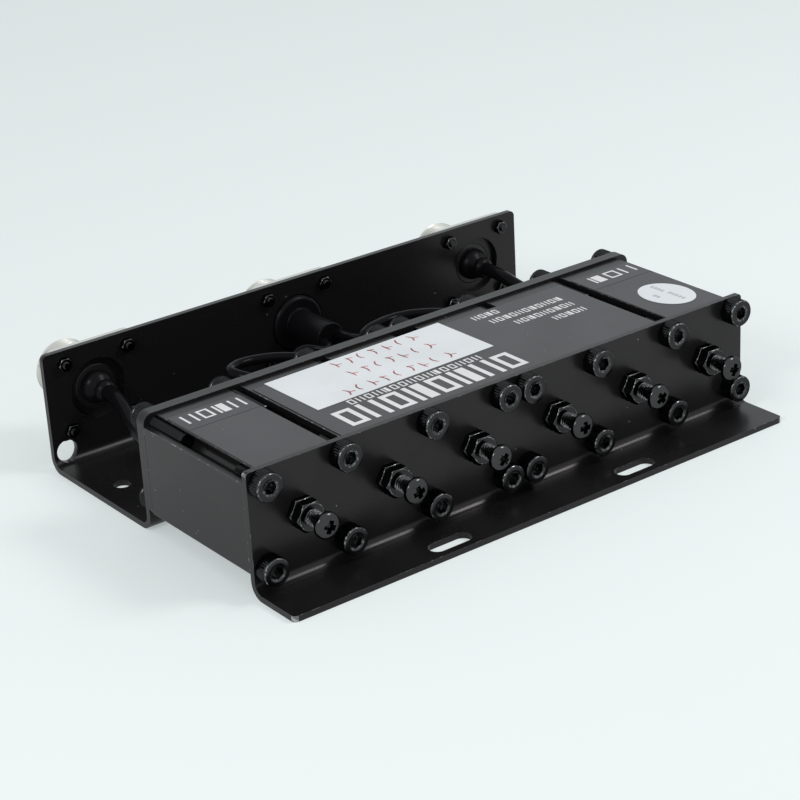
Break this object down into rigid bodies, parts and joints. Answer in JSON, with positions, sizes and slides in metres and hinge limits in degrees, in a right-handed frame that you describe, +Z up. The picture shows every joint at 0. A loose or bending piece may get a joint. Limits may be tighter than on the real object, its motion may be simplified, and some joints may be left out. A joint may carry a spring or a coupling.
{
  "type": "cavity duplexer",
  "caption": "Flat cavity duplexer: extruded blocks of round cavities between folded black brackets, tuning screws in front, coaxial ports at the back.",
  "frame": {"origin": "middle of the overall box, on the mounting surface", "axes": "+X along the front to the right as seen from the tuning screws, +Y from the front to the ports, +Z up"},
  "size_m": [0.1532, 0.124, 0.0317],
  "materials": {
    "anodised_aluminium": "satin black anodising",
    "blackened_steel": "black oxide with bright edges",
    "brass": "turned brass",
    "silvered_wire": "silver-plated copper wire",
    "panel_film": "dark grey printed film, satin",
    "label_paper": "white coated paper label",
    "nickel_plate": "bright nickel plate",
    "black_plastic": "black moulded insulator",
    "cable_jacket": "glossy black jacket"
  },
  "bodies": {
    "housing": {"front_bracket": "anodised_aluminium", "left_cavity_block": "anodised_aluminium", "right_cavity_block": "anodised_aluminium", "rear_plate": "anodised_aluminium", "rear_bracket": "anodised_aluminium", "front_screws": "blackened_steel", "rear_screws": "blackened_steel", "lock_nuts": "blackened_steel", "tuner_bushings": "blackened_steel", "resonator_1": "silvered_wire", "resonator_2": "silvered_wire", "resonator_3": "silvered_wire", "resonator_4": "silvered_wire", "resonator_5": "silvered_wire", "resonator_6": "silvered_wire", "left_port_panel": "panel_film", "name_panel": "panel_film", "right_port_panel": "panel_film", "paper_label": "label_paper", "oval_sticker": "label_paper", "high_port_shell": "nickel_plate", "antenna_port_shell": "nickel_plate", "low_port_shell": "nickel_plate", "high_port_insulator": "black_plastic", "antenna_port_insulator": "black_plastic", "low_port_insulator": "black_plastic", "high_port_contact": "brass", "antenna_port_contact": "brass", "low_port_contact": "brass", "connector_screws": "blackened_steel", "connector_nuts": "blackened_steel", "high_feed_boot": "cable_jacket", "low_feed_boot": "cable_jacket", "antenna_tee": "cable_jacket", "high_feed_cable": "cable_jacket", "low_feed_cable": "cable_jacket", "left_antenna_cable": "cable_jacket", "right_antenna_cable": "cable_jacket", "jumper_cable_1": "cable_jacket", "jumper_cable_2": "cable_jacket", "jumper_cable_3": "cable_jacket", "jumper_cable_4": "cable_jacket"},
    "slug_1": {"tuning_slug_1": "brass"},
    "screw_1": {"tuning_screw_1": "blackened_steel"},
    "slug_2": {"tuning_slug_2": "brass"},
    "screw_2": {"tuning_screw_2": "blackened_steel"},
    "slug_3": {"tuning_slug_3": "brass"},
    "screw_3": {"tuning_screw_3": "blackened_steel"},
    "slug_4": {"tuning_slug_4": "brass"},
    "screw_4": {"tuning_screw_4": "blackened_steel"},
    "slug_5": {"tuning_slug_5": "brass"},
    "screw_5": {"tuning_screw_5": "blackened_steel"},
    "slug_6": {"tuning_slug_6": "brass"},
    "screw_6": {"tuning_screw_6": "blackened_steel"}
  },
  "joints": [
    {"name": "tuner_1_travel", "type": "slide", "parent": "housing", "child": "slug_1", "axis": [0, 1, 0], "range_m": [-0.0035, 0.0042]},
    {"name": "tuner_1_turn", "type": "hinge", "parent": "slug_1", "child": "screw_1", "pos_m": [-0.0629, -0.04695, 0.0176], "axis": [0, 1, 0], "range_deg": [-1800, 2160]},
    {"name": "tuner_2_travel", "type": "slide", "parent": "housing", "child": "slug_2", "axis": [0, 1, 0], "range_m": [-0.0035, 0.0042]},
    {"name": "tuner_2_turn", "type": "hinge", "parent": "slug_2", "child": "screw_2", "pos_m": [-0.0378, -0.04695, 0.0176], "axis": [0, 1, 0], "range_deg": [-1800, 2160]},
    {"name": "tuner_3_travel", "type": "slide", "parent": "housing", "child": "slug_3", "axis": [0, 1, 0], "range_m": [-0.0035, 0.0042]},
    {"name": "tuner_3_turn", "type": "hinge", "parent": "slug_3", "child": "screw_3", "pos_m": [-0.0127, -0.04695, 0.0176], "axis": [0, 1, 0], "range_deg": [-1800, 2160]},
    {"name": "tuner_4_travel", "type": "slide", "parent": "housing", "child": "slug_4", "axis": [0, 1, 0], "range_m": [-0.0035, 0.0042]},
    {"name": "tuner_4_turn", "type": "hinge", "parent": "slug_4", "child": "screw_4", "pos_m": [0.0127, -0.04695, 0.0176], "axis": [0, 1, 0], "range_deg": [-1800, 2160]},
    {"name": "tuner_5_travel", "type": "slide", "parent": "housing", "child": "slug_5", "axis": [0, 1, 0], "range_m": [-0.0035, 0.0042]},
    {"name": "tuner_5_turn", "type": "hinge", "parent": "slug_5", "child": "screw_5", "pos_m": [0.0378, -0.04695, 0.0176], "axis": [0, 1, 0], "range_deg": [-1800, 2160]},
    {"name": "tuner_6_travel", "type": "slide", "parent": "housing", "child": "slug_6", "axis": [0, 1, 0], "range_m": [-0.0035, 0.0042]},
    {"name": "tuner_6_turn", "type": "hinge", "parent": "slug_6", "child": "screw_6", "pos_m": [0.0629, -0.04695, 0.0176], "axis": [0, 1, 0], "range_deg": [-1800, 2160]}
  ],
  "couplings": [
    {"joint": "tuner_1_turn", "follows": "tuner_1_travel", "rad_per_m": 8976},
    {"joint": "tuner_2_turn", "follows": "tuner_2_travel", "rad_per_m": 8976},
    {"joint": "tuner_3_turn", "follows": "tuner_3_travel", "rad_per_m": 8976},
    {"joint": "tuner_4_turn", "follows": "tuner_4_travel", "rad_per_m": 8976},
    {"joint": "tuner_5_turn", "follows": "tuner_5_travel", "rad_per_m": 8976},
    {"joint": "tuner_6_turn", "follows": "tuner_6_travel", "rad_per_m": 8976}
  ]
}
